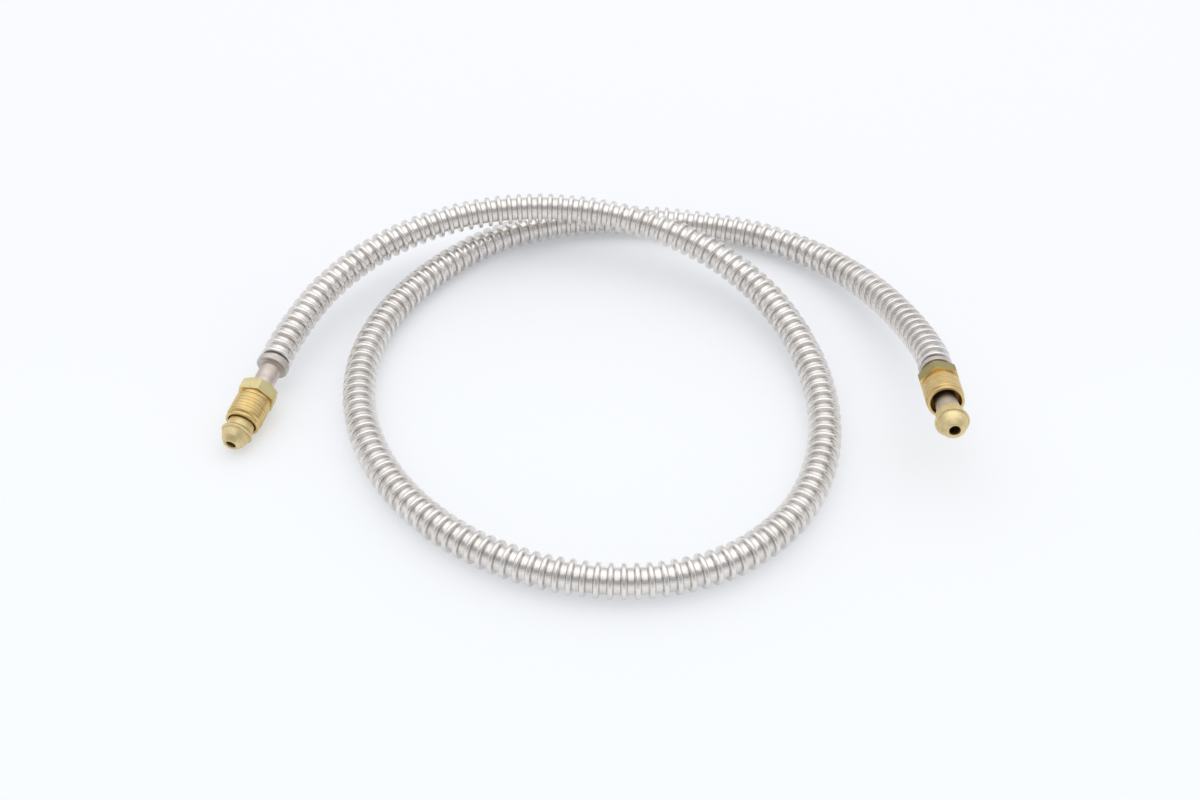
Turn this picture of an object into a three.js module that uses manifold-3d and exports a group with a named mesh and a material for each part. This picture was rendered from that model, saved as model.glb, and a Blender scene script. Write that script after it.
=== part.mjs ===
// A flexible gas hose: a corrugated steel hose laid in one loop, with a steel tube stub, a brazed
// brass nipple and a loose brass union nut at each end. Millimetres, +Z up, the surface at z = 0.

import * as THREE from 'three';
import { mergeVertices } from 'three/addons/utils/BufferGeometryUtils.js';
import Module from 'manifold-3d';

// Hose
const hoseDiameter = 9.4; // over the crests of the corrugations
const hoseSides = 12; // of its section
const hoseStep = 1.1; // of its route, in hose diameters

// Steel tube stub
const tubeDiameter = 6;
const tubeBore = 4;
const tubeFree = 19.5; // between the collar and the nipple

// Steel collar that closes the hose on the tube
const collarDiameter = 9.2;
const collarLength = 1.6;
const collarEdge = 0.4; // rounding of its two rims
const dishDiameter = 8; // hollow in its outer face
const dishDepth = 0.4;

// Brass nipple, from its nose back to the tube
const noseBore = 2.7;
const noseFace = 4.2; // diameter of the flat seat round the bore
const ballDiameter = 7.9;
const ballLength = 1.5;
const grooveDiameter = 7.7;
const grooveLength = 0.8;
const ridgeDiameter = 8.8;
const ridgeLength = 1.3;
const shoulderLength = 1.6; // cone behind the ridge, which the nut presses on
const neckDiameter = 7.4;
const neckLength = 2.5;
const tailLength = 1; // taper down to the tube
const tailWall = 0.35; // left round the socket at the very end
const socketDepth = 4;

// Brass union nut, from its hexagon to its mouth
const acrossFlats = 10;
const hexLength = 3.9;
const hexChamfer = 0.6; // length of the chamfer on the outer corners
const reliefDiameter = 8.9; // run-out between the hexagon and the thread
const reliefLength = 1.1;
const threadDiameter = 10;
const threadLength = 7; // with the relief not counted
const leadDiameter = 9.2; // plain end at the mouth
const leadLength = 1;
const counterbore = 7.9; // diameter of the hollow that takes the nipple's neck
const counterboreDepth = 6;
const mouthChamfer = 0.25;

// Room left between neighbouring pieces, on the radius and along the axis
const clearance = 0.3;

// Where each nut stands, counted from the collar's face to the hexagon's back
const leftNutBack = 7.8;
const rightNutBack = 2;

// Degrees that each nut is turned on its tube, from having a flat on top
const leftNutTurn = -9;
const rightNutTurn = 8;

const turnedSides = 36;
const cornerRoom = 0.11; // below the round hose, for the corners of its section

// Route of the hose's underside, from the left end to the right: x, y and height over the surface
const route = [
  [-89.6, 1.4, 3.2],
  [-87.7, 8.8, 4.2],
  [-79.2, 29.1, 6.9],
  [-65.2, 46.2, 9.2],
  [-46.7, 58.3, 10.8],
  [-25.4, 64.5, 11.5],
  [-3.3, 64.3, 11.4],
  [18.1, 58.3, 10.4],
  [37.4, 47.5, 8],
  [52.8, 31.9, 4.7],
  [62.4, 12.1, 2.1],
  [66.3, -9.7, 0.6],
  [64.1, -31.7, 0],
  [55.1, -52, 0],
  [39, -67.1, 0],
  [18.2, -74.3, 0],
  [-4, -73.3, 0],
  [-24.8, -65.7, 0],
  [-42.5, -52.4, 0],
  [-55.8, -34.6, 0],
  [-63.5, -13.8, 0],
  [-64.6, 8.3, 0],
  [-58.6, 29.7, 0],
  [-46.7, 48.4, 0],
  [-30.4, 63.5, 0],
  [-10.1, 72.3, 0],
  [12, 74.8, 0],
  [34.1, 72.3, 0],
  [55.3, 65.7, 0.2],
  [73.2, 52.8, 1.3],
  [85.5, 34.6, 4.4],
  [92.7, 14, 8.5],
  [95.7, -7.4, 13.7],
  [95.3, -14.2, 15.1],
].map(([x, y, lift]) => new THREE.Vector3(x, y, lift + cornerRoom + hoseDiameter / 2));

const steel = new THREE.MeshStandardMaterial({ color: 0xc4bfb8, roughness: 0.32, metalness: 0.9 });
const tubeSteel = new THREE.MeshStandardMaterial({ color: 0xb3a59c, roughness: 0.4, metalness: 0.9 });
const collarSteel = new THREE.MeshStandardMaterial({ color: 0xa8a29c, roughness: 0.45, metalness: 0.9 });
const nutBrass = new THREE.MeshStandardMaterial({ color: 0xc9a24e, roughness: 0.35, metalness: 0.9 });
const nippleBrass = new THREE.MeshStandardMaterial({ color: 0xcbb579, roughness: 0.35, metalness: 0.9 });

const wasm = await Module();
wasm.setup();

// Places along an end, counted outwards from the hose's end face
const collarStart = clearance;
const collarEnd = collarStart + collarLength;
const nippleStart = collarEnd + tubeFree;
const shoulderStart = nippleStart + tailLength + neckLength;
const ridgeStart = shoulderStart + shoulderLength;
const grooveStart = ridgeStart + ridgeLength;
const ballStart = grooveStart + grooveLength;
const noseEnd = ballStart + ballLength;
const nutLength = hexLength + reliefLength + threadLength + leadLength;

// A body turned round the Y axis from a closed outline of [radius, place along the axis]
function turned(outline, sides = turnedSides) {
  const points = outline.map(([radius, along]) => new THREE.Vector2(radius, along));
  points.push(points[0].clone());
  return new THREE.LatheGeometry(points, sides);
}

// Points of a quarter ellipse, from [r0, y0] to [r1, y1], its bulge outwards
function quarter(r0, y0, r1, y1, steps) {
  const points = [];
  for (let i = 0; i <= steps; i += 1) {
    const angle = (i / steps) * (Math.PI / 2);
    points.push([r1 + (r0 - r1) * Math.cos(angle), y0 + (y1 - y0) * Math.sin(angle)]);
  }
  return points;
}

function solid(geometry) {
  const bare = geometry.clone();
  bare.deleteAttribute('normal');
  bare.deleteAttribute('uv');
  const merged = mergeVertices(bare, 1e-4);
  const vertices = new Float32Array(merged.attributes.position.array);
  const triangles = new Uint32Array(merged.index.array);
  return new wasm.Manifold(new wasm.Mesh({ numProp: 3, vertProperties: vertices, triVerts: triangles }));
}

function shaped(body) {
  const mesh = body.getMesh();
  const geometry = new THREE.BufferGeometry();
  geometry.setAttribute('position', new THREE.BufferAttribute(new Float32Array(mesh.vertProperties), 3));
  geometry.setIndex(new THREE.BufferAttribute(new Uint32Array(mesh.triVerts), 1));
  geometry.computeVertexNormals();
  return geometry;
}

function hoseGeometry(curve) {
  const section = new THREE.Shape();
  const corner = hoseDiameter / 2 / Math.cos(Math.PI / hoseSides);
  for (let i = 0; i < hoseSides; i += 1) {
    const angle = ((i + 0.5) / hoseSides) * 2 * Math.PI;
    const point = [corner * Math.cos(angle), corner * Math.sin(angle)];
    if (i === 0) section.moveTo(...point);
    else section.lineTo(...point);
  }
  section.closePath();
  const steps = Math.round(curve.getLength() / (hoseStep * hoseDiameter));
  return new THREE.ExtrudeGeometry(section, { steps, bevelEnabled: false, extrudePath: curve });
}

function collarGeometry() {
  const inner = tubeDiameter / 2 + clearance;
  const outer = collarDiameter / 2;
  return turned([
    [inner, collarStart],
    [outer - collarEdge, collarStart],
    [outer, collarStart + collarEdge],
    [outer, collarEnd - collarEdge],
    [outer - collarEdge, collarEnd],
    [dishDiameter / 2, collarEnd],
    [inner, collarEnd - dishDepth],
  ]);
}

function tubeGeometry() {
  const tip = nippleStart + socketDepth - clearance;
  return turned([
    [tubeBore / 2, collarStart],
    [tubeDiameter / 2, collarStart],
    [tubeDiameter / 2, tip],
    [tubeBore / 2, tip],
  ]);
}

// Tail, neck, shoulder cone, ridge, groove and ball nose, with a socket for the tube behind
function nippleGeometry() {
  const socket = tubeDiameter / 2 + clearance;
  const neck = neckDiameter / 2;
  return turned([
    [socket, nippleStart],
    [socket + tailWall, nippleStart],
    [neck, nippleStart + tailLength],
    [neck, shoulderStart],
    [ridgeDiameter / 2, ridgeStart],
    [ridgeDiameter / 2, grooveStart],
    [grooveDiameter / 2, grooveStart + grooveLength / 2],
    ...quarter(ballDiameter / 2, ballStart, noseFace / 2, noseEnd, 6),
    [noseBore / 2, noseEnd],
    [noseBore / 2, nippleStart + socketDepth],
    [socket, nippleStart + socketDepth],
  ]);
}

// The nut stands on y = 0 at the back of its hexagon
function nutGeometry() {
  const bore = tubeDiameter / 2 + clearance;
  const corner = acrossFlats / Math.sqrt(3);
  const flat = acrossFlats / 2;
  const threadStart = hexLength + reliefLength;
  const threadEnd = threadStart + threadLength;
  const lead = (threadDiameter - leadDiameter) / 2;
  const hollow = counterbore / 2;
  const barrel = turned([
    [bore, 0],
    [reliefDiameter / 2, 0],
    [reliefDiameter / 2, threadStart],
    [threadDiameter / 2, threadStart + lead],
    [threadDiameter / 2, threadEnd - lead],
    [leadDiameter / 2, threadEnd],
    [leadDiameter / 2, nutLength - mouthChamfer],
    [leadDiameter / 2 - mouthChamfer, nutLength],
    [hollow + mouthChamfer, nutLength],
    [hollow, nutLength - mouthChamfer],
    [hollow, nutLength - counterboreDepth],
    [bore, nutLength - counterboreDepth],
  ]);
  const hexagon = new THREE.CylinderGeometry(corner, corner, hexLength, 6);
  hexagon.rotateY(Math.PI / 6); // a flat on top
  hexagon.translate(0, hexLength / 2, 0);
  const corners = turned([
    [bore, 0],
    [flat, 0],
    [corner, hexChamfer],
    [corner, hexLength],
    [bore, hexLength],
  ]);
  return shaped(solid(hexagon).intersect(solid(corners)).add(solid(barrel)));
}

// A group whose +Y runs outwards from an end of the hose, with its +Z kept upright
function endGroup(end, inside) {
  const outwards = end.clone().sub(inside).normalize();
  const side = outwards.clone().cross(new THREE.Vector3(0, 0, 1)).normalize();
  const upright = side.clone().cross(outwards);
  const group = new THREE.Group();
  group.quaternion.setFromRotationMatrix(new THREE.Matrix4().makeBasis(side, outwards, upright));
  group.position.copy(end);
  return group;
}

function named(name, geometry, material) {
  const mesh = new THREE.Mesh(geometry, material);
  mesh.name = name;
  return mesh;
}

function endPieces(side, group, nutBack, nutTurn) {
  const nut = named(`${side}_nut`, nutGeometry(), nutBrass);
  nut.position.y = collarEnd + nutBack;
  nut.rotation.y = -THREE.MathUtils.degToRad(nutTurn);
  group.add(named(`${side}_collar`, collarGeometry(), collarSteel));
  group.add(named(`${side}_tube`, tubeGeometry(), tubeSteel));
  group.add(named(`${side}_nipple`, nippleGeometry(), nippleBrass));
  group.add(nut);
  return group;
}

const part = new THREE.Group();
const curve = new THREE.CatmullRomCurve3(route, false, 'centripetal');
part.add(named('hose', hoseGeometry(curve), steel));
part.add(endPieces('left', endGroup(route[0], route[1]), leftNutBack, leftNutTurn));
part.add(endPieces('right', endGroup(route.at(-1), route.at(-2)), rightNutBack, rightNutTurn));

export default part;
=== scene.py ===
import math
import random

import bmesh
import bpy
import numpy as np
from mathutils import Matrix, Vector


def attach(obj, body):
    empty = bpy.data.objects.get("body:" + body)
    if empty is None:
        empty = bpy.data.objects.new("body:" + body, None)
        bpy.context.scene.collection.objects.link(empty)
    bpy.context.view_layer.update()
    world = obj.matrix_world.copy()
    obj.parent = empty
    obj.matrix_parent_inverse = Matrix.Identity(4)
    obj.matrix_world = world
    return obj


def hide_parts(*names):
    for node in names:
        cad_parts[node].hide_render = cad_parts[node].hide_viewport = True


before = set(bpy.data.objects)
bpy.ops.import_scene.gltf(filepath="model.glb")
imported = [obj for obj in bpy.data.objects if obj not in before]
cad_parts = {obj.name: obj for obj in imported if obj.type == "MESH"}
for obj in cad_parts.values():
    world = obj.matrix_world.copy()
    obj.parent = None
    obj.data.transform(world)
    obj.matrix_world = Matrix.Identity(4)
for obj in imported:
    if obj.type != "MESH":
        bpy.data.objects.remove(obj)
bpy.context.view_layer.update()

mm = 0.001
print("frame loaded:", len(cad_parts), "nodes")

# the camera, at the height and slant of the photograph
view = {
    "place": (0.0039, -0.274, 0.2601),  # metres
    "tilt": 45.9,  # degrees, from looking straight down
    "lens": 39.0,  # mm
    "sensor": 36,  # mm, its width
    "clip": (0.01, 20),  # metres
}
cameraData = bpy.data.cameras.new("camera")
cameraData.lens = view["lens"]
cameraData.sensor_width = view["sensor"]
cameraData.clip_start, cameraData.clip_end = view["clip"]
camera = bpy.data.objects.new("camera", cameraData)
camera.location = view["place"]
camera.rotation_euler = (math.radians(view["tilt"]), 0, 0)
bpy.context.scene.collection.objects.link(camera)
bpy.context.scene.camera = camera
bpy.context.scene.view_settings.view_transform = "Standard"

# the route of the hose, as in the CAD source
route = [
    (-89.6, 1.4, 3.2), (-87.7, 8.8, 4.2), (-79.2, 29.1, 6.9), (-65.2, 46.2, 9.2), (-46.7, 58.3, 10.8),
    (-25.4, 64.5, 11.5), (-3.3, 64.3, 11.4), (18.1, 58.3, 10.4), (37.4, 47.5, 8), (52.8, 31.9, 4.7),
    (62.4, 12.1, 2.1), (66.3, -9.7, 0.6), (64.1, -31.7, 0), (55.1, -52, 0), (39, -67.1, 0),
    (18.2, -74.3, 0), (-4, -73.3, 0), (-24.8, -65.7, 0), (-42.5, -52.4, 0), (-55.8, -34.6, 0),
    (-63.5, -13.8, 0), (-64.6, 8.3, 0), (-58.6, 29.7, 0), (-46.7, 48.4, 0), (-30.4, 63.5, 0),
    (-10.1, 72.3, 0), (12, 74.8, 0), (34.1, 72.3, 0), (55.3, 65.7, 0.2), (73.2, 52.8, 1.3),
    (85.5, 34.6, 4.4), (92.7, 14, 8.5), (95.7, -7.4, 13.7), (95.3, -14.2, 15.1),
]  # x, y and height of the hose's underside, in mm, from the left end to the right

# sizes are in mm and angles in degrees, in every piece
hose = {
    "crest": 9.26,  # diameter over the rings
    "root": 6.8,  # diameter in the valleys
    "room": 0.18,  # below the hose
    "rings": 214,
    "endRoom": 1.75,  # from the hose's end face to its first ring
    "plainEnd": 0.6,  # the last row of corners before the right end face
    "endWear": 0.3,  # of the plain ends
    "sides": 32,
    "ringShape": [  # half a ring: share of the half width, share of the height, wear and painted shade; no wear at a ring's foot paints the crease darker
        (1.0, 0.0, 0.35), (0.63, 0.0, 0.25), (0.53, 0.04, 0.0), (0.47, 0.2, 0.0),
        (0.415, 0.5, 0.1), (0.365, 0.8, 0.3), (0.26, 0.96, 0.85), (0.0, 1.0, 1.0),
    ],
    "jitter": 0.035,  # that a ring's place and height stray
    "lean": 0.5,  # that a ring leans
    "seed": 11,
    "crease": 50,  # from this angle an edge is sharp
    "curveSteps": 60,  # between two points of the route
    "directionSpan": 0.4,  # each way, over which the axis' direction is taken
    "pathPoints": 441,  # points of the centre line
}


def smooth(share):  # 0 to 1, easing in and out
    share = min(max(share, 0.0), 1.0)
    return share * share * (3 - 2 * share)


def routeCurve(points, steps):  # smooth curve through the points, as many steps between two
    points = [np.array(p, float) for p in points]
    ends = [2 * points[0] - points[1], *points, 2 * points[-1] - points[-2]]
    line = []
    for i in range(1, len(ends) - 2):
        p0, p1, p2, p3 = ends[i - 1:i + 3]
        d0, d1, d2 = (np.linalg.norm(b - a) ** 0.5 for a, b in ((p0, p1), (p1, p2), (p2, p3)))
        t1 = ((p1 - p0) / d0 - (p2 - p0) / (d0 + d1) + (p2 - p1) / d1) * d1
        t2 = ((p2 - p1) / d1 - (p3 - p1) / (d1 + d2) + (p3 - p2) / d2) * d1
        for k in range(steps):
            u = k / steps
            line.append(p1 + t1 * u + (3 * (p2 - p1) - 2 * t1 - t2) * u ** 2
                        + (2 * (p1 - p2) + t1 + t2) * u ** 3)
    line.append(points[-1])
    return np.array(line)


axisHeight = hose["room"] + hose["crest"] / 2
axisPoints = [(x, y, lift + axisHeight) for x, y, lift in route]
axisLine = routeCurve(axisPoints, hose["curveSteps"])
axisPlace = np.r_[0, np.cumsum(np.linalg.norm(np.diff(axisLine, axis=0), axis=1))]
hoseLength = float(axisPlace[-1])
print("hose axis:", round(hoseLength, 1), "mm")


def axisAt(place):  # point and direction of the axis, at a distance along it
    span = hose["directionSpan"]
    point = np.array([np.interp(place, axisPlace, axisLine[:, k]) for k in range(3)])
    low, high = max(place - span, 0), min(place + span, hoseLength)
    ahead = np.array([np.interp(high, axisPlace, axisLine[:, k]) for k in range(3)])
    behind = np.array([np.interp(low, axisPlace, axisLine[:, k]) for k in range(3)])
    return point, (ahead - behind) / np.linalg.norm(ahead - behind)


def makeObject(name, corners, faces, local, wear, crease=32):
    # corners in the part's frame, local and wear with painted shade for the materials, all in mm
    mesh = bpy.data.meshes.new(name)
    mesh.from_pydata([tuple(c * mm for c in corner) for corner in corners], [], faces)
    placeLayer = mesh.attributes.new("local", "FLOAT_VECTOR", "POINT")
    placeLayer.data.foreach_set("vector", np.array(local, np.float32).ravel())
    wearLayer = mesh.attributes.new("wear", "FLOAT", "POINT")
    wearLayer.data.foreach_set("value", np.array(wear, np.float32).ravel())
    mesh.update()
    mesh.validate()
    mesh.polygons.foreach_set("use_smooth", [True] * len(mesh.polygons))
    mesh.set_sharp_from_angle(angle=math.radians(crease))
    made = bpy.data.objects.new(name, mesh)
    bpy.context.scene.collection.objects.link(made)
    return made


def ringFaces(rows, sides):  # quads between closed rings of corners
    faces = []
    for j in range(rows - 1):
        for i in range(sides):
            k = (i + 1) % sides
            faces.append((j * sides + i, j * sides + k, (j + 1) * sides + k, (j + 1) * sides + i))
    return faces


def hoseStations():  # each ring of corners: place along the axis, radius, wear with painted shade, lean across and up
    draw = random.Random(hose["seed"])
    low, high = hose["root"] / 2, hose["crest"] / 2
    pitch = (hoseLength - 2 * hose["endRoom"]) / (hose["rings"] - 1)
    half = pitch / 2
    shape = [(-w, h, worn) for w, h, worn in hose["ringShape"]] + hose["ringShape"][-2::-1]
    stations = [(0.0, low, hose["endWear"], 0.0, 0.0)]
    for ring in range(hose["rings"]):
        stray = draw.uniform(-1, 1) * hose["jitter"]
        taller = draw.uniform(-1, 1) * hose["jitter"] - hose["jitter"]
        leanAcross = math.radians(draw.gauss(0, hose["lean"]))
        leanUp = math.radians(draw.gauss(0, hose["lean"]))
        centre = hose["endRoom"] + ring * pitch
        for share, height, worn in shape[:-1]:
            place = centre + share * half + stray * (1 - abs(share))
            radius = low + (high + taller - low) * height
            stations.append((place, radius, worn, leanAcross * height, leanUp * height))
    stations.append((hoseLength - hose["plainEnd"], low, hose["endWear"], 0.0, 0.0))
    stations.append((hoseLength, low, hose["endWear"], 0.0, 0.0))
    return stations


def hoseMesh():
    corners, local, wear = [], [], []
    up = np.array([0, 0, 1.0])
    stations = hoseStations()
    sides = hose["sides"]
    for place, radius, worn, leanAcross, leanUp in stations:
        point, ahead = axisAt(place)
        side = np.cross(ahead, up)
        side /= np.linalg.norm(side)
        upright = np.cross(side, ahead)
        for i in range(sides):
            angle = 2 * math.pi * i / sides
            across, over = radius * math.cos(angle), radius * math.sin(angle)
            shift = across * math.tan(leanAcross) + over * math.tan(leanUp)
            corners.append(point + across * side + over * upright + shift * ahead)
            local.append((across, place, over))
            wear.append(worn)
    faces = ringFaces(len(stations), sides)
    faces.append(tuple(reversed(range(sides))))
    last = (len(stations) - 1) * sides
    faces.append(tuple(range(last, last + sides)))
    outwards = [tuple(reversed(face)) for face in faces]
    return makeObject("corrugated_hose", corners, outwards, local, wear, hose["crease"])


hoseObject = hoseMesh()
print("hose mesh:", len(hoseObject.data.vertices), "corners")


endPlaces = {
    "gap": 0.3,  # from the hose's end face to the collar
    "collar": 1.6,
    "freeTube": 19.5,
    "leftNut": 7.8,  # from the collar to the nut's hexagon
    "rightNut": 2.0,
    "leftTurn": 21,  # that the nut is turned on its tube, from having a corner on top
    "rightTurn": -22,
}
collarFace = endPlaces["gap"] + endPlaces["collar"]
nippleBack = collarFace + endPlaces["freeTube"]


def endFrame(end, inside):  # +Y outwards from an end of the hose, +Z kept upright
    end, inside = Vector(end), Vector(inside)
    outwards = (end - inside).normalized()
    side = outwards.cross(Vector((0, 0, 1))).normalized()
    upright = side.cross(outwards)
    matrix = Matrix((side, outwards, upright)).transposed().to_4x4()
    matrix.translation = end
    return matrix


ends = {
    "left": endFrame(axisPoints[0], axisPoints[1]),
    "right": endFrame(axisPoints[-1], axisPoints[-2]),
}


def rounded(points, steps=4):
    # points are radius, place, rounding and wear with painted shade; each corner gets an arc of its rounding
    longest = 0.48  # share of a side that an arc may take
    line = []
    for i, (x, y, radius, worn) in enumerate(points):
        if radius <= 0:
            line.append((x, y, worn))
            continue
        here = Vector((x, y))
        before = Vector(points[i - 1][:2]) - here
        after = Vector(points[(i + 1) % len(points)][:2]) - here
        turn = before.angle(after)
        back = min(radius / math.tan(turn / 2), before.length * longest, after.length * longest)
        start, stop = here + before.normalized() * back, here + after.normalized() * back
        for k in range(steps + 1):
            t = k / steps
            bent = start * (1 - t) ** 2 + here * 2 * t * (1 - t) + stop * t ** 2
            line.append((bent.x, bent.y, worn))
    return line


def turnedObject(name, matrix, outline, sides=64):
    # turned round the end's axis from a closed outline of radius, place and wear with painted shade
    corners, local, wear = [], [], []
    for radius, place, worn in outline:
        for i in range(sides):
            angle = 2 * math.pi * i / sides
            across, over = radius * math.cos(angle), radius * math.sin(angle)
            corners.append(matrix @ Vector((across, place, over)))
            local.append((across, place, over))
            wear.append(worn)
    rows = len(outline)
    faces = ringFaces(rows, sides)
    for i in range(sides):
        k = (i + 1) % sides
        faces.append(((rows - 1) * sides + i, (rows - 1) * sides + k, k, i))
    return makeObject(name, corners, faces, local, wear)


collar = {
    "diameter": 9.2,
    "bore": 5.96,  # a little inside the tube's surface, so that no gap shows
    "back": 0.05,  # from the hose's end face
    "backBevel": (0.2, 0.3),  # across and along
    "edge": 0.3,  # rounding of the outer rim
    "dish": 8.0,  # hollow in the outer face
    "dishDepth": 0.06,
    "dishSlope": 0.25,  # width of the dish's edge
    "fillet": 0.15,  # of the weld on the tube
}


def collarObject(side):
    outer, dish, bore = collar["diameter"] / 2, collar["dish"] / 2, collar["bore"] / 2
    back, fillet = collar["back"], collar["fillet"]
    across, along = collar["backBevel"]
    front = collarFace
    dishFloor = front - collar["dishDepth"]
    outline = rounded([
        (bore, back, 0, 0.0),
        (outer - across, back, 0.15, 0.2),
        (outer, back + along, 0.3, 0.8),
        (outer, front, collar["edge"], 1.0),
        (dish, front, 0.2, 0.6),
        (dish - collar["dishSlope"], dishFloor, 0.2, 0.5),
        (bore + fillet, dishFloor, 0.25, 0.5),
        (bore, dishFloor + fillet, 0, 0.3),
    ])
    return turnedObject(f"{side}_end_collar", ends[side], outline)


tube = {
    "diameter": 6.0,
    "bore": 4.0,
    "tip": 3.7,  # how far it enters the nipple
    "tinted": 5.0,  # length beside the nipple that is drawn darker, with no wear
    "tintFade": 3.0,
    "wear": 0.5,  # of the rest
    "rows": 24,
    "sides": 56,
}


def tubeObject(side):
    outer, bore = tube["diameter"] / 2, tube["bore"] / 2
    start, tip = endPlaces["gap"], nippleBack + tube["tip"]
    outline = [(bore, start, 0.0)]
    for k in range(tube["rows"] + 1):
        place = start + (tip - start) * k / tube["rows"]
        # darker beside the nipple, where its wear falls to none
        untinted = smooth((nippleBack - tube["tinted"] - place) / tube["tintFade"])
        outline.append((outer, place, tube["wear"] * untinted))
    outline.append((bore, tip, 0.0))
    return turnedObject(f"{side}_tube_stub", ends[side], outline, tube["sides"])


nipple = {
    "bore": 2.7,
    "boreChamfer": 0.18,
    "boreLip": (0.04, 0.1),  # soft edge below the chamfer, across and along
    "boreMouth": 1.2,  # length of the bore that is shaded with its mouth
    "noseFace": 4.2,  # diameter of the flat round the bore
    "ball": 7.9,  # the nose, where it starts
    "ballLength": 3.4,
    "cone": 6.3,  # the nose, where its cone bends over
    "coneLength": 2.1,
    "noseSteps": 8,
    "groove": 7.8,
    "grooveLength": 0.5,
    "ridge": 8.8,
    "ridgeLength": 0.4,
    "shoulder": 0.9,  # cone behind the ridge, which the nut presses on
    "shoulderRoom": 0.2,  # from the neck's end to that cone
    "neck": 7.4,
    "neckLength": 2.5,
    "tail": 1.0,
    "tailShift": 0.6,  # the tail ends this much nearer the nose
    "braze": (0.3, 0.2),  # fillet of solder on the tube, up and along
    "tailWall": 0.35,
    "tailSlope": 0.04,
    "socket": 4.0,
    "fit": 0.02,  # into the tube's surface, so that no gap shows
}


def nippleObject(side):
    n = nipple
    tubeRadius, neck = tube["diameter"] / 2 - n["fit"], n["neck"] / 2
    brazeUp, brazeAlong = n["braze"]
    tailStart = nippleBack + n["tailShift"]
    tailTop = tailStart + brazeAlong + n["tailSlope"]
    shoulderStart = nippleBack + n["tail"] + n["neckLength"]
    ridgeStart = shoulderStart + n["shoulder"]
    grooveStart = ridgeStart + n["ridgeLength"]
    ballStart = grooveStart + n["grooveLength"]
    coneEnd = ballStart + n["coneLength"]
    nose = ballStart + n["ballLength"]
    body = rounded([
        (tubeRadius, nippleBack + n["socket"], 0, 0.0),
        (tubeRadius, tailStart, 0, 0.1),
        (tubeRadius + brazeUp, tailStart + brazeAlong, 0.2, 0.3),
        (tubeRadius + brazeUp + n["tailWall"], tailTop, 0.15, 0.6),
        (neck, tailStart + n["tail"], 0.5, 0.4),
        (neck, shoulderStart + n["shoulderRoom"], 0.4, 0.3),
        (n["ridge"] / 2, ridgeStart, 0.3, 1.0),
        (n["ridge"] / 2, grooveStart, 0.2, 1.0),
        (n["groove"] / 2, grooveStart + n["grooveLength"] / 2, 0.4, 0.1),
        (n["ball"] / 2, ballStart, 0, 0.6),
    ])[:-1]
    bore, chamfer = n["bore"] / 2, n["boreChamfer"]
    arc = rounded([
        (n["ball"] / 2, ballStart, 0, 0.6),
        (n["cone"] / 2, coneEnd, 1.6, 0.7),
        (n["noseFace"] / 2, nose, 0.5, 0.8),
        (bore + chamfer * 2, nose, 0, 0.8),
    ], n["noseSteps"])
    lipAcross, lipAlong = n["boreLip"]
    # the bore has no wear, which paints shade down it
    hole = [
        (bore + chamfer, nose, 0.9),
        (bore + lipAcross, nose - chamfer, 0.4),
        (bore, nose - chamfer - lipAlong, 0.0),
        (bore, nose - n["boreMouth"], 0.0),
        (bore, nippleBack + n["socket"], 0.0),
    ]
    return turnedObject(f"{side}_ball_nipple", ends[side], body + arc + hole)


nut = {
    "flats": 10.0,
    "hexLength": 3.9,
    "hexChamfer": 0.6,  # length of the chamfer on the outer corners
    "cornerRounding": 0.22,
    "backEdge": (0.12, 0.05),  # softened edge round the back face, across and along
    "backFlat": 0.15,  # flat ring inside that edge
    "chamferRows": [(0.5, 0.4), (0.92, 0.8), (1.0, 0.8)],  # share of the chamfer, wear and painted shade
    "chamferEdge": 0.09,  # softened edge between the chamfer and the flats
    "flatMiddle": 0.6,  # share of the hexagon's length where its flats are least worn
    "footEdge": (0.03, 0.12),  # small and full size of the softened edge round the foot
    "skinRows": (5, 9),  # first row of faces with the bar's drawn skin, and the first one after them
    "relief": 8.9,  # run-out between the hexagon and the thread
    "reliefLength": 1.1,
    "reliefFillet": (0.06, 0.25),  # at the foot of the hexagon, small and full size
    "reliefEnd": 0.1,  # from its last row to the thread
    "thread": 10.0,
    "threadLength": 7.0,
    "pitch": 1.0,
    "threadDepth": 0.065,  # shallow, because the real lines hardly show
    "threadRise": 0.45,  # length over which the thread's body rises from the relief
    "cutIn": 1.6,  # length over which its lines get their depth
    "runOut": 0.8,  # length over which both end at the lead
    "threadShape": [  # share of a pitch, share of the depth
        (0.0, 0.0), (0.12, 0.0), (0.2, 0.12), (0.34, 0.6), (0.45, 0.97), (0.5, 1.0), (0.55, 1.0),
        (0.6, 0.97), (0.71, 0.6), (0.85, 0.12),
    ],
    "lead": 9.6,
    "leadLength": 1.0,
    "leadRise": 0.12,
    "mouth": 0.25,  # chamfers of the mouth
    "mouthEdge": (0.4, 0.07),  # share of that chamfer where it softens, and how far along
    "hollow": 7.9,
    "hollowDepth": 6.0,
    "hollowMouth": 1.5,  # length from the mouth over which the hollow's painted shade deepens
    "bore": 6.6,
    "boreChamfer": 0.25,
    "cornerAngles": [-30, -29, -28, -26.5, -23, -18, -12, -6, 0, 6, 12, 18, 23, 26.5, 28, 29],
    "crease": 40,  # from this angle an edge is sharp
}


def hexRadius(angle):  # out to the hexagon at an angle from the middle of a flat
    flat, small = nut["flats"] / 2, nut["cornerRounding"]
    turn = (angle + math.pi / 6) % (math.pi / 3) - math.pi / 6
    toCorner = math.pi / 6 - abs(turn)
    tangent = math.pi / 6 - math.atan((flat - small) * math.tan(math.pi / 6) / flat)
    if toCorner >= tangent:
        return flat / math.cos(turn)
    middle = (flat - small) / math.cos(math.pi / 6)
    return middle * math.cos(toCorner) + math.sqrt(small ** 2 - (middle * math.sin(toCorner)) ** 2)


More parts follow.
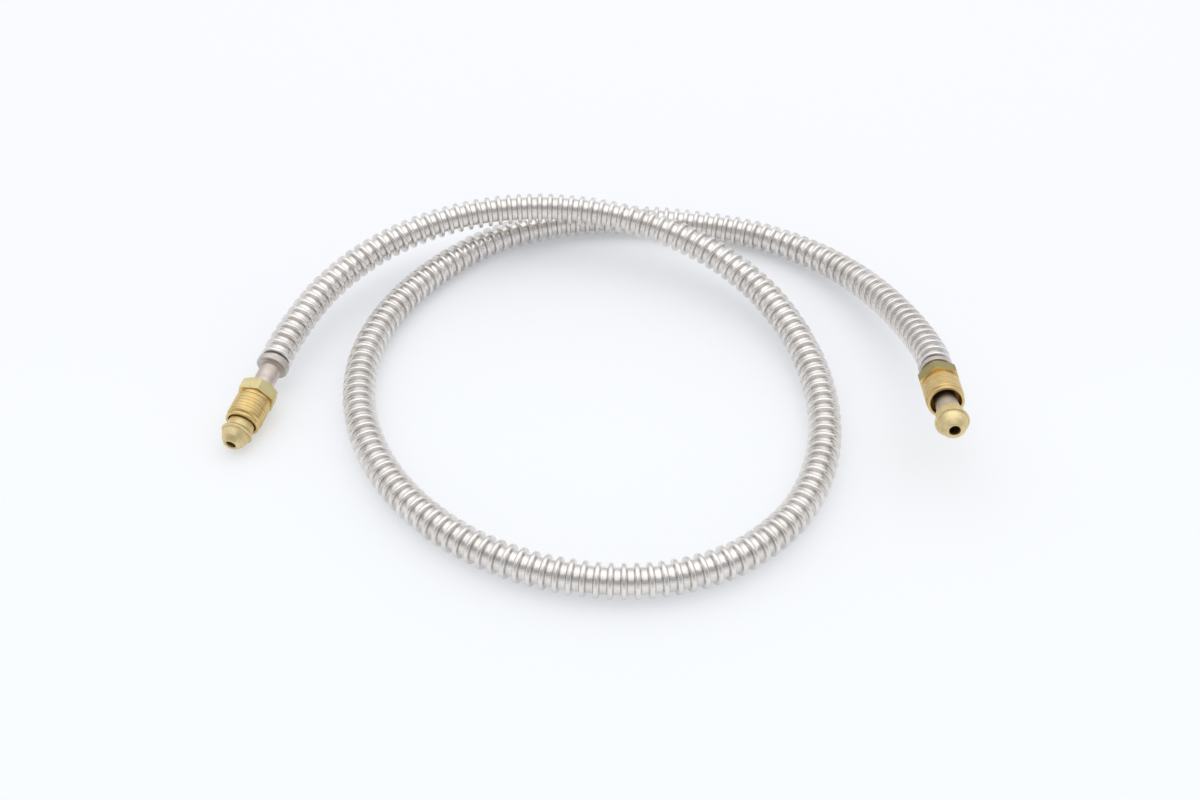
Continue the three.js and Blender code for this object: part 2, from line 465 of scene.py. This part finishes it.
def nutObject(side):
    n = nut
    matrix = ends[side] @ Matrix.Rotation(-math.radians(endPlaces[f"{side}Turn"]), 4, "Y")
    base = collarFace + endPlaces[f"{side}Nut"]
    angles = [math.radians(60 * k + a) for k in range(6) for a in n["cornerAngles"]]
    sides = len(angles)
    threadStart = n["hexLength"] + n["reliefLength"]
    threadEnd = threadStart + n["threadLength"]
    length = threadEnd + n["leadLength"]
    corners, local, wear, faces = [], [], [], []

    def addCorner(angle, radius, place, worn):
        across, over = radius * math.cos(angle), radius * math.sin(angle)
        corners.append(matrix @ Vector((across, base + place, over)))
        local.append((across, place, over))
        wear.append(worn)

    def addRow(row):  # one (radius, place, wear and painted shade) for each angle
        for angle, (radius, place, worn) in zip(angles, row):
            addCorner(angle, radius, place, worn)

    def even(radius, place, worn):  # the same all round
        return [(radius, place, worn)] * sides

    # the hexagon, from its back face over the chamfer and the flats to its foot
    flat = n["flats"] / 2
    outs = [hexRadius(angle) for angle in angles]
    slope = n["hexChamfer"] / (flat / math.cos(math.pi / 6) - flat)  # along the axis for each mm of radius
    edgeAcross, edgeAlong = n["backEdge"]
    back = flat - edgeAcross
    rows = [
        even(n["bore"] / 2 + n["boreChamfer"], 0.0, 0.1),
        even(back - n["backFlat"], 0.0, 0.3),
        even(back, edgeAlong, 0.7),
    ]
    for share, worn in n["chamferRows"]:
        rows.append([(back + (out - back) * share, edgeAlong + (out - back) * share * slope, worn)
                     for out in outs])
    flatStart = edgeAlong + n["chamferEdge"]
    rows.append([(out, flatStart + (out - back) * slope, 0.5) for out in outs])
    smallEdge, footEdge = n["footEdge"]
    for inwards, place, worn in ((0.0, n["hexLength"] * n["flatMiddle"], 0.2),
                                 (0.0, n["hexLength"] - footEdge, 0.5),
                                 (smallEdge, n["hexLength"] - smallEdge, 0.9),
                                 (footEdge, n["hexLength"], 0.6)):
        rows.append([(out - inwards, place, worn) for out in outs])
    relief = n["relief"] / 2
    filletSmall, filletLarge = n["reliefFillet"]
    # the corner at the hexagon's foot has little wear, which paints shade there, and the relief has full
    # wear, whose bright colour paints a highlight
    rows += [
        even(relief + filletLarge, n["hexLength"], 0.3),
        even(relief + filletSmall, n["hexLength"] + filletSmall, 0.2),
        even(relief, n["hexLength"] + filletLarge, 1.0),
        even(relief, threadStart - n["reliefEnd"], 1.0),
    ]
    for row in rows:
        addRow(row)
    faces += ringFaces(len(rows), sides)
    firstSkin, endSkin = n["skinRows"]
    skin = range(firstSkin * sides, endSkin * sides)  # faces of the six flats

    # the thread: rows that climb one pitch in a turn, held between its two ends; its roots have no wear,
    # which paints shade in them
    shape = n["threadShape"]
    turns = math.ceil(n["threadLength"] / n["pitch"]) + 1
    top = n["thread"] / 2
    lineStart, lineRows = len(corners), turns * len(shape) + 1
    for k in range(lineRows):
        phase, depth = shape[k % len(shape)]
        climb = k // len(shape) + phase - 1
        for angle in [*angles, angles[0] + 2 * math.pi]:
            along = (climb + (angle - angles[0]) / (2 * math.pi)) * n["pitch"]
            held = min(max(along, 0.0), n["threadLength"])
            ending = (n["threadLength"] - held) / n["runOut"]
            risen = smooth(min(held / n["threadRise"], ending))
            cut = smooth(min(held / n["cutIn"], ending))
            radius = relief + (top - relief) * risen - n["threadDepth"] * depth * cut
            addCorner(angle, radius, threadStart + held, 1 - depth)
    wide = sides + 1
    for j in range(lineRows - 1):
        for i in range(sides):
            first, second = lineStart + j * wide + i, lineStart + (j + 1) * wide + i
            faces.append((first, first + 1, second + 1, second))

    # from the thread's end over the mouth and down the hollow, whose low wear paints shade inside it
    frontStart = len(corners)
    lead, hollow, bore, mouth = n["lead"] / 2, n["hollow"] / 2, n["bore"] / 2, n["mouth"]
    softShare, softAlong = n["mouthEdge"]
    front = [
        even(relief, threadEnd, 0.2),
        even(lead, threadEnd + n["leadRise"], 0.5),
        even(lead, length - mouth, 0.7),
        even(lead - mouth * softShare, length - softAlong, 1.0),
        even(lead - mouth, length, 1.0),
        even(hollow + mouth, length, 0.9),
        even(hollow + mouth * softShare, length - softAlong, 0.9),
        even(hollow, length - mouth, 0.3),
        even(hollow, length - n["hollowMouth"], 0.0),
        even(hollow, length - n["hollowDepth"], 0.0),
        even(bore, length - n["hollowDepth"], 0.0),
        even(bore, n["boreChamfer"], 0.1),
        even(bore + n["boreChamfer"], 0.0, 0.5),
    ]
    for row in front:
        addRow(row)
    faces += [tuple(frontStart + i for i in face) for face in ringFaces(len(front), sides)]
    made = makeObject(f"{side}_union_nut", corners, faces, local, wear)
    for index in skin:
        made.data.polygons[index].material_index = 1  # the nut's second material
    closeSeams(made)
    return made


def closeSeams(made):  # joins corners that lie on each other and drops what that leaves empty
    same, empty = 0.001 * mm, 0.0001 * mm
    work = bmesh.new()
    work.from_mesh(made.data)
    bmesh.ops.remove_doubles(work, verts=work.verts, dist=same)
    bmesh.ops.dissolve_degenerate(work, edges=work.edges, dist=empty)
    bmesh.ops.recalc_face_normals(work, faces=work.faces)
    work.to_mesh(made.data)
    work.free()
    made.data.polygons.foreach_set("use_smooth", [True] * len(made.data.polygons))
    made.data.set_sharp_from_angle(angle=math.radians(nut["crease"]))


collars = {side: collarObject(side) for side in ends}
tubes = {side: tubeObject(side) for side in ends}
nipples = {side: nippleObject(side) for side in ends}
nuts = {side: nutObject(side) for side in ends}
print("ends made")


def linear(code):  # sRGB hex to linear red, green, blue and one
    parts = [int(code[i:i + 2], 16) / 255 for i in (1, 3, 5)]
    return [*(p / 12.92 if p <= 0.04045 else ((p + 0.055) / 1.055) ** 2.4 for p in parts), 1.0]


def addNode(tree, kind, settings=None, links=None):  # a node, its settings and what feeds its sockets
    node = tree.nodes.new(kind)
    for key, value in (settings or {}).items():
        if isinstance(key, int) or key in node.inputs:
            node.inputs[key].default_value = value
        else:
            setattr(node, key, value)
    for key, source in (links or {}).items():
        tree.links.new(source, node.inputs[key])
    return node


def newMaterial(name):
    material = bpy.data.materials.new(name)
    material.use_nodes = True
    material.node_tree.nodes.clear()
    return material, material.node_tree


# what the metals share: the noise is read between two levels, and a shade brightens less than it darkens
finish = {
    "patchLevels": (0.38, 0.66),  # from clean to tarnished
    "levels": (0.3, 0.7),  # from dark to light, for lines, grain and roughness
    "brighter": 0.4,  # share of a shade above the plain colour
    "acrossLines": 0.12,  # for each mm across, so that the lines run round the axis
    "shadeBelowWear": 0.25,  # painted shade falls on corners, creases and hollows below this wear
    "grainRough": 0.4,  # share of the grain's shade that is added to the roughness
}


def metalMaterial(name, look):
    # tarnish in soft patches, turning or forming lines round the axis, brighter worn edges, and painted shade
    # that darkens
    #     # corners, creases and hollows where the wear is low; patch, grain and line are sizes in mm,
    #     lineDepth and grainDepth
    #     # too, and real tool lines are under 0.1 mm apart, so they are drawn coarser to show at all
    material, tree = newMaterial(name)
    place = addNode(tree, "ShaderNodeAttribute", {"attribute_name": "local"}).outputs["Vector"]
    worn = addNode(tree, "ShaderNodeAttribute", {"attribute_name": "wear"}).outputs["Fac"]
    patches = addNode(tree, "ShaderNodeTexNoise", {
        "Scale": 1 / look["patch"], "Detail": 3.0, "Roughness": 0.55}, {"Vector": place}).outputs["Fac"]
    grain = addNode(tree, "ShaderNodeTexNoise", {
        "Scale": 1 / look["grain"], "Detail": 2.0, "Roughness": 0.6}, {"Vector": place}).outputs["Fac"]
    stretch = addNode(tree, "ShaderNodeVectorMath", {
        "operation": "MULTIPLY", 1: (finish["acrossLines"], 1 / look["line"], finish["acrossLines"])},
        {0: place}).outputs["Vector"]
    lines = addNode(tree, "ShaderNodeTexNoise", {
        "Scale": 1.0, "Detail": 1.5, "Roughness": 0.5}, {"Vector": stretch}).outputs["Fac"]

    clean, tarnished = finish["patchLevels"]
    patchShare = addNode(tree, "ShaderNodeMapRange", {
        "From Min": clean, "From Max": tarnished}, {"Value": patches}).outputs["Result"]
    colour = addNode(tree, "ShaderNodeMix", {
        "data_type": "RGBA", 6: linear(look["colour"]), 7: linear(look["tarnish"])},
        {0: patchShare}).outputs[2]
    wornShare = addNode(tree, "ShaderNodeMath", {
        "operation": "MULTIPLY", 1: look["wornShare"]}, {0: worn}).outputs["Value"]
    colour = addNode(tree, "ShaderNodeMix", {
        "data_type": "RGBA", 7: linear(look["bright"])}, {0: wornShare, 6: colour}).outputs[2]

    dark, light = finish["levels"]
    lineShade = addNode(tree, "ShaderNodeMapRange", {
        "From Min": dark, "From Max": light, "To Min": 1 - look["lineShade"],
        "To Max": 1 + look["lineShade"] * finish["brighter"]}, {"Value": lines}).outputs["Result"]
    grainShade = addNode(tree, "ShaderNodeMapRange", {
        "From Min": dark, "From Max": light, "To Min": 1 - look["grainShade"],
        "To Max": 1 + look["grainShade"] * finish["brighter"]}, {"Value": grain}).outputs["Result"]
    # painted shade: the colour is darkened where the wear is low, in corners, creases and hollows
    cornerShade = addNode(tree, "ShaderNodeMapRange", {
        "From Min": 0.0, "From Max": finish["shadeBelowWear"], "To Min": 1 - look["cornerShade"],
        "To Max": 1.0}, {"Value": worn}).outputs["Result"]
    shade = addNode(tree, "ShaderNodeMath", {
        "operation": "MULTIPLY"}, {0: lineShade, 1: grainShade}).outputs["Value"]
    shade = addNode(tree, "ShaderNodeMath", {
        "operation": "MULTIPLY"}, {0: shade, 1: cornerShade}).outputs["Value"]
    colour = addNode(tree, "ShaderNodeVectorMath", {
        "operation": "SCALE"}, {0: colour, "Scale": shade}).outputs["Vector"]

    smoothest, roughest = look["rough"] - look["roughSpread"], look["rough"] + look["roughSpread"]
    rough = addNode(tree, "ShaderNodeMapRange", {
        "From Min": dark, "From Max": light, "To Min": smoothest, "To Max": roughest},
        {"Value": patches}).outputs["Result"]
    rough = addNode(tree, "ShaderNodeMath", {
        "operation": "MULTIPLY_ADD", 1: look["grainShade"] * finish["grainRough"]},
        {0: grain, 2: rough}).outputs["Value"]
    grainRelief = addNode(tree, "ShaderNodeMath", {
        "operation": "MULTIPLY", 1: look["grainDepth"]}, {0: grain}).outputs["Value"]
    relief = addNode(tree, "ShaderNodeMath", {
        "operation": "MULTIPLY_ADD", 1: look["lineDepth"]}, {0: lines, 2: grainRelief}).outputs["Value"]
    bump = addNode(tree, "ShaderNodeBump", {
        "Strength": 1.0, "Distance": mm}, {"Height": relief}).outputs["Normal"]
    shader = addNode(tree, "ShaderNodeBsdfPrincipled", {
        "Metallic": 1.0}, {"Base Color": colour, "Roughness": rough, "Normal": bump})
    addNode(tree, "ShaderNodeOutputMaterial", None, {"Surface": shader.outputs["BSDF"]})
    return material


# stainless steel 1.4301, rolled thin and formed into rings: bright, a little warm, softly blurred reflections
formedSteel = metalMaterial("stainless_formed", {
    "colour": "#ebe7e3", "tarnish": "#e1dcd6", "bright": "#efece9", "wornShare": 0.5,
    "patch": 9.0, "grain": 0.5, "line": 0.35, "lineShade": 0.06, "grainShade": 0.06, "cornerShade": 0.09,
    "rough": 0.2, "roughSpread": 0.04, "lineDepth": 0.012, "grainDepth": 0.008,
})
# drawn steel tube, annealed by the brazing: satin with a rosy grey cast
drawnSteel = metalMaterial("steel_drawn_annealed", {
    "colour": "#dfd2c9", "tarnish": "#cbbeb5", "bright": "#e6dcd4", "wornShare": 0.3,
    "patch": 5.0, "grain": 0.35, "line": 0.5, "lineShade": 0.07, "grainShade": 0.12, "cornerShade": 0.15,
    "rough": 0.34, "roughSpread": 0.07, "lineDepth": 0.008, "grainDepth": 0.012,
})
# welded steel collar: dull grey, rough from the weld, its rim rubbed bright
weldedSteel = metalMaterial("steel_collar_welded", {
    "colour": "#c6bfb8", "tarnish": "#b0a9a3", "bright": "#ded9d3", "wornShare": 0.7,
    "patch": 2.4, "grain": 0.3, "line": 0.3, "lineShade": 0.1, "grainShade": 0.18, "cornerShade": 0.25,
    "rough": 0.44, "roughSpread": 0.08, "lineDepth": 0.015, "grainDepth": 0.03,
})
# free-cutting brass, turned and threaded from hexagon bar: golden, fine tool lines round the axis
turnedBrass = metalMaterial("brass_turned_nut", {
    "colour": "#e3c584", "tarnish": "#d2ae6a", "bright": "#ebd49c", "wornShare": 0.5,
    "patch": 3.0, "grain": 0.3, "line": 0.22, "lineShade": 0.1, "grainShade": 0.1, "cornerShade": 0.15,
    "rough": 0.27, "roughSpread": 0.06, "lineDepth": 0.015, "grainDepth": 0.01,
})
# the drawn skin of the same bar, left on the hexagon: pale and greenish, no tool lines
drawnSkin = {
    "colour": "#ddd19c", "tarnish": "#d0c38c", "bright": "#e6dbb0", "wornShare": 0.5,
    "patch": 3.5, "grain": 0.4, "line": 3.0, "lineShade": 0.04, "grainShade": 0.08, "cornerShade": 0.0,
    "rough": 0.46, "roughSpread": 0.05, "lineDepth": 0.004, "grainDepth": 0.012,
}
# the right hexagon's skin is darker and more olive
darkSkin = {"colour": "#a89d6b", "tarnish": "#978c5a", "bright": "#bdb283"}
skins = {
    "left": metalMaterial("brass_drawn_skin", drawnSkin),
    "right": metalMaterial("brass_drawn_skin_darker", {**drawnSkin, **darkSkin}),
}
# the same brass on the nipple, paler and duller after brazing and pickling
pickledBrass = metalMaterial("brass_pickled_nipple", {
    "colour": "#ebd6a0", "tarnish": "#d5bc84", "bright": "#f0e0b2", "wornShare": 0.5,
    "patch": 2.6, "grain": 0.3, "line": 0.25, "lineShade": 0.1, "grainShade": 0.12, "cornerShade": 0.2,
    "rough": 0.42, "roughSpread": 0.06, "lineDepth": 0.015, "grainDepth": 0.015,
})

hoseObject.data.materials.append(formedSteel)
for side in ends:
    collars[side].data.materials.append(weldedSteel)
    tubes[side].data.materials.append(drawnSteel)
    nipples[side].data.materials.append(pickledBrass)
    nuts[side].data.materials.append(turnedBrass)
    nuts[side].data.materials.append(skins[side])
print("materials made")


# a paper sweep under a pale room; strengths are shares of white, and edges are from and to
studio = {
    "reach": 6.0,  # half the floor's width, in metres
    "floor": "#c9cac9",
    "floorGlow": 0.45,  # what the camera and reflections see added to the floor's own light
    "farFloor": "#e2e3e4",  # paler paper behind the middle of the loop, with less added
    "farGlow": 0.255,
    "farEdge": (-0.03, 0.045),  # the floor's Y, in metres, over which it changes to that
    "glow": "#f6f9ff",
    "sweep": 0.985,  # the paper that rises behind the floor
    "sweepTop": (0.05, 0.15),  # where it gives way to the room, by the direction's Z
    "horizon": 0.78,
    "overhead": 1.17,
    "rise": (0.22, 0.72),  # where the room brightens upwards, by the direction's Z
    "room": "#fbfcff",
    "front": 0.44,  # share of the light left on the camera's side, where the room is dark
    "frontEdge": (-0.02, -0.2),  # where that side starts, by the direction's Y
    "frontFoot": (0.3, 0.46),  # above which it is dark, by the direction's Z
    "frontHead": (0.93, 0.8),  # and below which
    "lamp": (0.04, 0.3, 0.8),  # metres
    "lampSize": (1.0, 0.8),  # metres
    "lampPower": 0.6,  # watts
}


def floorObject():
    mesh = bpy.data.meshes.new("floor")
    reach = studio["reach"]
    mesh.from_pydata([(-reach, -reach, 0), (reach, -reach, 0), (reach, reach, 0), (-reach, reach, 0)],
                     [], [(0, 1, 2, 3)])
    made = bpy.data.objects.new("floor", mesh)
    bpy.context.scene.collection.objects.link(made)
    material, tree = newMaterial("paper_matt_white")  # matt paper sweep: no shine, even and pale
    rays = addNode(tree, "ShaderNodeLightPath")
    seen = addNode(tree, "ShaderNodeMath", {"operation": "MAXIMUM"}, {
        0: rays.outputs["Is Camera Ray"], 1: rays.outputs["Is Glossy Ray"]}).outputs["Value"]
    seen = addNode(tree, "ShaderNodeMath", {"operation": "MAXIMUM"}, {
        0: seen, 1: rays.outputs["Is Transmission Ray"]}).outputs["Value"]
    place = addNode(tree, "ShaderNodeTexCoord").outputs["Object"]
    along = addNode(tree, "ShaderNodeSeparateXYZ", None, {0: place}).outputs["Y"]
    near, beyond = studio["farEdge"]
    far = addNode(tree, "ShaderNodeMapRange", {
        "interpolation_type": "SMOOTHSTEP", "From Min": near, "From Max": beyond},
        {"Value": along}).outputs["Result"]
    share = addNode(tree, "ShaderNodeMapRange", {
        "To Min": studio["floorGlow"], "To Max": studio["farGlow"]}, {"Value": far}).outputs["Result"]
    glow = addNode(tree, "ShaderNodeMath", {"operation": "MULTIPLY"}, {0: seen, 1: share}).outputs["Value"]
    white = addNode(tree, "ShaderNodeMix", {
        "data_type": "RGBA", 6: linear(studio["floor"]), 7: linear(studio["farFloor"])},
        {0: far}).outputs[2]
    paper = addNode(tree, "ShaderNodeBsdfDiffuse", None, {"Color": white})
    light = addNode(tree, "ShaderNodeEmission", {"Color": linear(studio["glow"])}, {"Strength": glow})
    both = addNode(tree, "ShaderNodeAddShader", None, {0: paper.outputs[0], 1: light.outputs[0]})
    addNode(tree, "ShaderNodeOutputMaterial", None, {"Surface": both.outputs[0]})
    made.data.materials.append(material)


def studioWorld():
    world = bpy.data.worlds.new("studio")
    bpy.context.scene.world = world
    world.use_nodes = True
    tree = world.node_tree
    tree.nodes.clear()
    toward = addNode(tree, "ShaderNodeTexCoord").outputs["Generated"]
    parts = addNode(tree, "ShaderNodeSeparateXYZ", None, {0: toward}).outputs
    shares = {}
    for edge, part, low, high in (("rise", "Z", studio["horizon"], studio["overhead"]),
                                  ("frontEdge", "Y", 0.0, 1.0),
                                  ("frontFoot", "Z", 0.0, 1.0),
                                  ("frontHead", "Z", 0.0, 1.0),
                                  ("sweepTop", "Z", studio["sweep"], 0.0)):
        start, full = studio[edge]
        shares[edge] = addNode(tree, "ShaderNodeMapRange", {
            "interpolation_type": "SMOOTHSTEP", "From Min": start, "From Max": full,
            "To Min": low, "To Max": high}, {"Value": parts[part]}).outputs["Result"]
    dark = addNode(tree, "ShaderNodeMath", {"operation": "MULTIPLY"}, {
        0: shares["frontEdge"], 1: shares["frontFoot"]}).outputs["Value"]
    dark = addNode(tree, "ShaderNodeMath", {"operation": "MULTIPLY"}, {
        0: dark, 1: shares["frontHead"]}).outputs["Value"]
    kept = addNode(tree, "ShaderNodeMapRange", {
        "To Min": 1.0, "To Max": studio["front"]}, {"Value": dark}).outputs["Result"]
    room = addNode(tree, "ShaderNodeMath", {"operation": "MULTIPLY"}, {
        0: shares["rise"], 1: kept}).outputs["Value"]
    strength = addNode(tree, "ShaderNodeMath", {"operation": "MAXIMUM"}, {
        0: room, 1: shares["sweepTop"]}).outputs["Value"]
    light = addNode(tree, "ShaderNodeBackground", {"Color": linear(studio["room"])}, {"Strength": strength})
    addNode(tree, "ShaderNodeOutputWorld", None, {"Surface": light.outputs[0]})


def overheadLamp():  # large and weak, facing down behind the loop
    data = bpy.data.lights.new("overhead", "AREA")
    data.shape = "RECTANGLE"
    data.size, data.size_y = studio["lampSize"]
    data.energy = studio["lampPower"]
    made = bpy.data.objects.new("overhead", data)
    made.location = studio["lamp"]
    made.rotation_euler = Vector((0, 0, -1)).to_track_quat("-Z", "Y").to_euler()
    bpy.context.scene.collection.objects.link(made)


floorObject()
studioWorld()
overheadLamp()
print("studio made")


# each piece with its body, the CAD node it stands for and its material slot
pieces = [(hoseObject, "hose", "hose", "hose_steel")]
for side in ends:
    pieces += [
        (collars[side], "hose", f"{side}_collar", "collar_steel"),
        (tubes[side], "hose", f"{side}_tube", "tube_steel"),
        (nipples[side], "hose", f"{side}_nipple", "nipple_brass"),
        (nuts[side], f"{side}_nut", f"{side}_nut", "nut_brass"),
    ]
for piece, body, node, slot in pieces:
    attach(piece, body)
    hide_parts(node)
